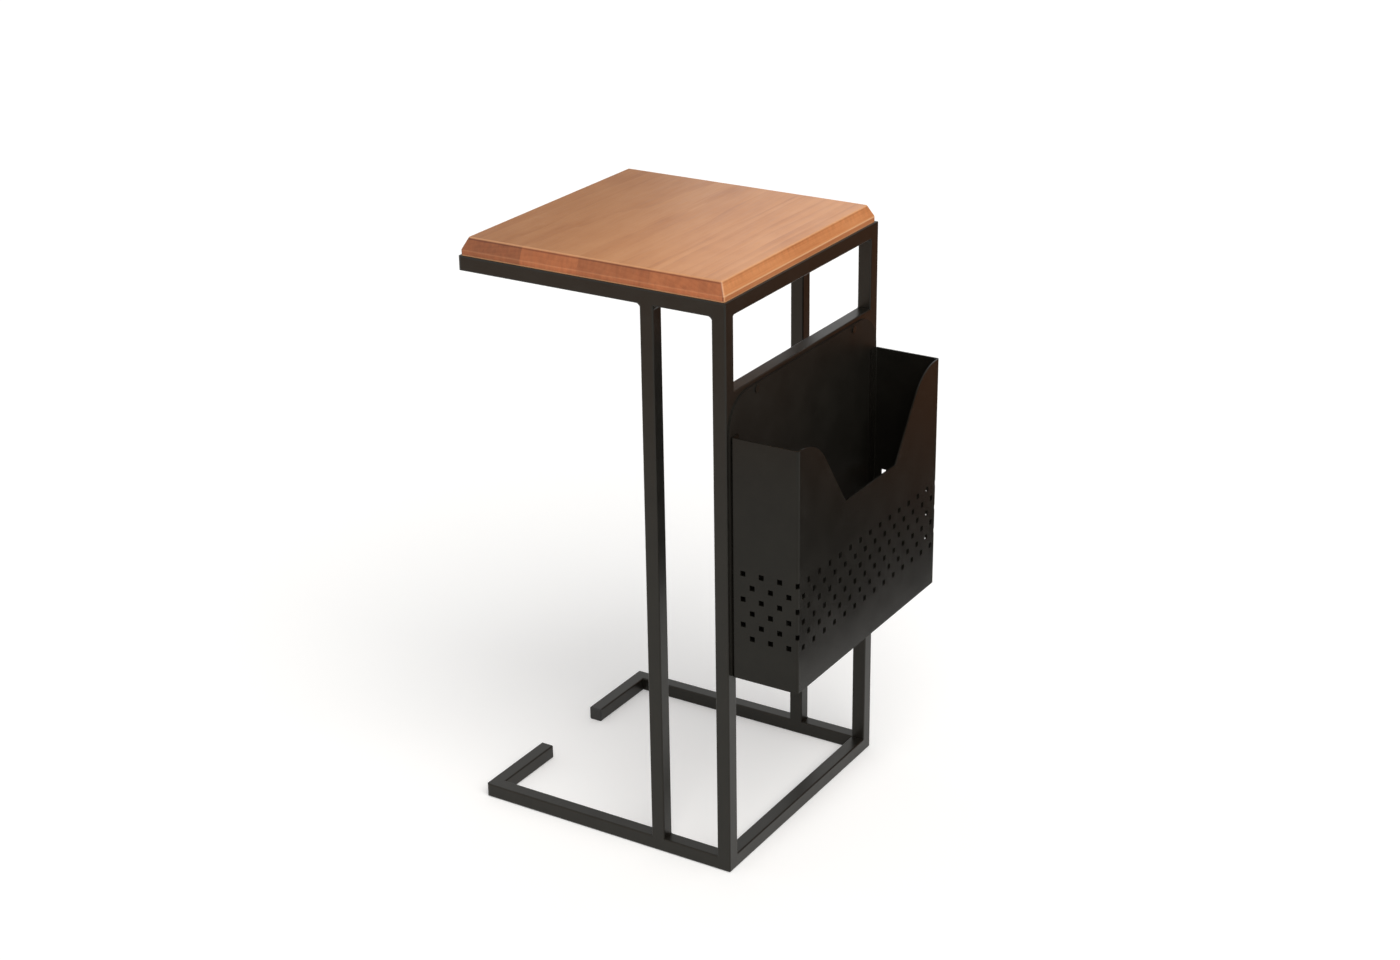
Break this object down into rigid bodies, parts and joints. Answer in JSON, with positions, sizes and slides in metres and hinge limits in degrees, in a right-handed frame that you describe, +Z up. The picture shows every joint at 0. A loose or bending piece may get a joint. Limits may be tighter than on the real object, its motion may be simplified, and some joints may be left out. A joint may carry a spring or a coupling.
{
  "type": "magazine side table",
  "caption": "C-shaped side table: a bevelled wooden top on a welded square-tube frame with an open-ended base, and a perforated, notched sheet-metal magazine rack hung on one side.",
  "frame": {"origin": "on the floor, in the middle of the whole footprint, rack included", "axes": "+Z up; +X towards the side that carries the rack, -X the open end; -Y is the long side nearest the picture's camera"},
  "size_m": [0.376, 0.3, 0.618],
  "materials": {
    "frame_paint": "satin black powder coat",
    "rack_paint": "satin black powder coat",
    "stave_1": "reddish brown stain under satin lacquer",
    "stave_2": "reddish brown stain under satin lacquer",
    "stave_3": "reddish brown stain under satin lacquer",
    "stave_4": "reddish brown stain under satin lacquer",
    "stave_5": "reddish brown stain under satin lacquer",
    "plug_plastic": "fine matt black",
    "screw_black": "black coated steel",
    "screw_zinc": "bright zinc plate",
    "insert_zinc": "bright zinc plate"
  },
  "bodies": {
    "root": {"base_front_rail": "frame_paint", "base_back_rail": "frame_paint", "base_right_rail": "frame_paint", "base_front_toe": "frame_paint", "base_back_toe": "frame_paint", "front_right_post": "frame_paint", "back_right_post": "frame_paint", "front_inner_post": "frame_paint", "back_inner_post": "frame_paint", "top_front_rail": "frame_paint", "top_back_rail": "frame_paint", "top_left_rail": "frame_paint", "top_right_rail": "frame_paint", "rack_rail": "frame_paint", "weld_beads": "frame_paint", "rack_back_plate": "rack_paint", "rack_basket": "rack_paint", "rack_floor": "rack_paint", "top_stave_1": "stave_1", "top_stave_2": "stave_2", "top_stave_3": "stave_3", "top_stave_4": "stave_4", "top_stave_5": "stave_5", "front_toe_plug": "plug_plastic", "back_toe_plug": "plug_plastic", "rack_screws": "screw_black", "top_screws": "screw_zinc", "rack_rivet_nuts": "insert_zinc"}
  },
  "joints": []
}
